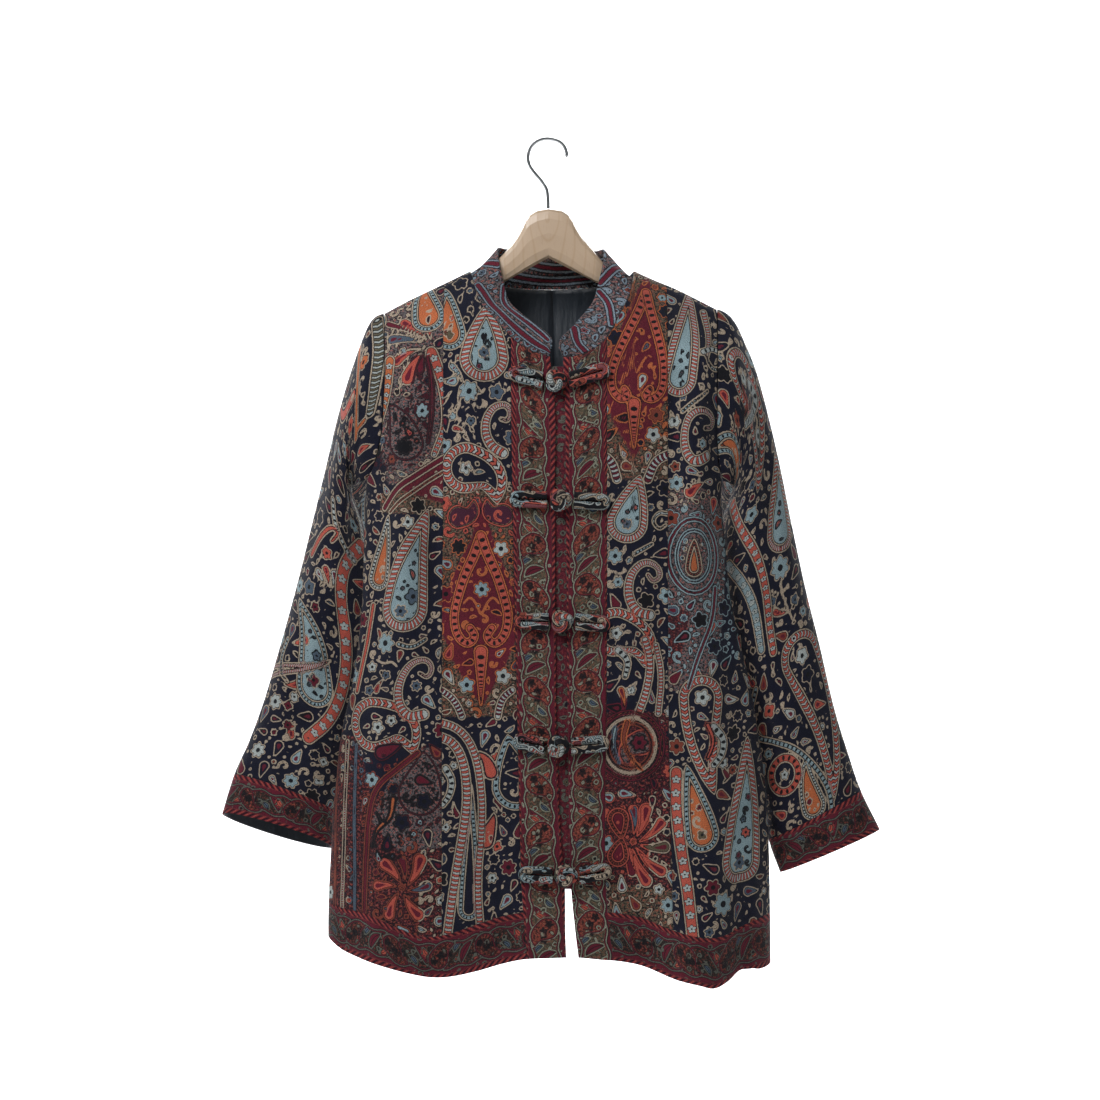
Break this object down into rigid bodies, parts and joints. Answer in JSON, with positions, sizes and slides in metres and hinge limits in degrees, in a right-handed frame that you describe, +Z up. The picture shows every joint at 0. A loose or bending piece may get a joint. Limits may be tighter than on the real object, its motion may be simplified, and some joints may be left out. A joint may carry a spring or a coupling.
{
  "type": "mandarin collar jacket on a hanger",
  "caption": "Long jacket with a stand-up collar, patched paisley cloth, patterned borders and knotted frog fastenings, on a wooden hanger with a wire hook.",
  "frame": {"origin": "inner top of the hook's crown, where a rod carries the hanger", "axes": "+Z up, +X to the viewer's right across the jacket's front, +Y away from the viewer, from the front towards the back"},
  "size_m": [0.7245, 0.1653, 0.9232],
  "materials": {
    "navy": "woven paisley, matt with a slight sheen",
    "maroon": "woven patch cloth, matt with a slight sheen",
    "border": "woven patterned band with rope-twill edges",
    "collar": "speckled woven cloth with stripes",
    "cord": "rolled patterned cloth cord",
    "lining": "smooth satin",
    "wood": "clear satin varnish",
    "steel": "polished wire"
  },
  "bodies": {
    "root": {"back_left": "navy", "back_right": "navy", "collar": "collar", "cuff_left": "border", "cuff_right": "border", "frog_1_knot": "cord", "frog_1_left_cord": "cord", "frog_1_right_cord": "cord", "frog_2_knot": "cord", "frog_2_left_cord": "cord", "frog_2_right_cord": "cord", "frog_3_knot": "cord", "frog_3_left_cord": "cord", "frog_3_right_cord": "cord", "frog_4_knot": "cord", "frog_4_left_cord": "cord", "frog_4_right_cord": "cord", "frog_5_knot": "cord", "frog_5_left_cord": "cord", "frog_5_right_cord": "cord", "front_band_left": "border", "front_band_right": "border", "front_centre_left": "maroon", "front_centre_right": "maroon", "front_side_left": "navy", "front_side_right": "navy", "hanger_body": "wood", "hanger_hook": "steel", "hem_border_back_left": "border", "hem_border_back_right": "border", "hem_border_front_left": "border", "hem_border_front_right": "border", "lining_left": "lining", "lining_right": "lining", "sleeve_left": "navy", "sleeve_right": "navy", "underlap": "border"}
  },
  "joints": []
}
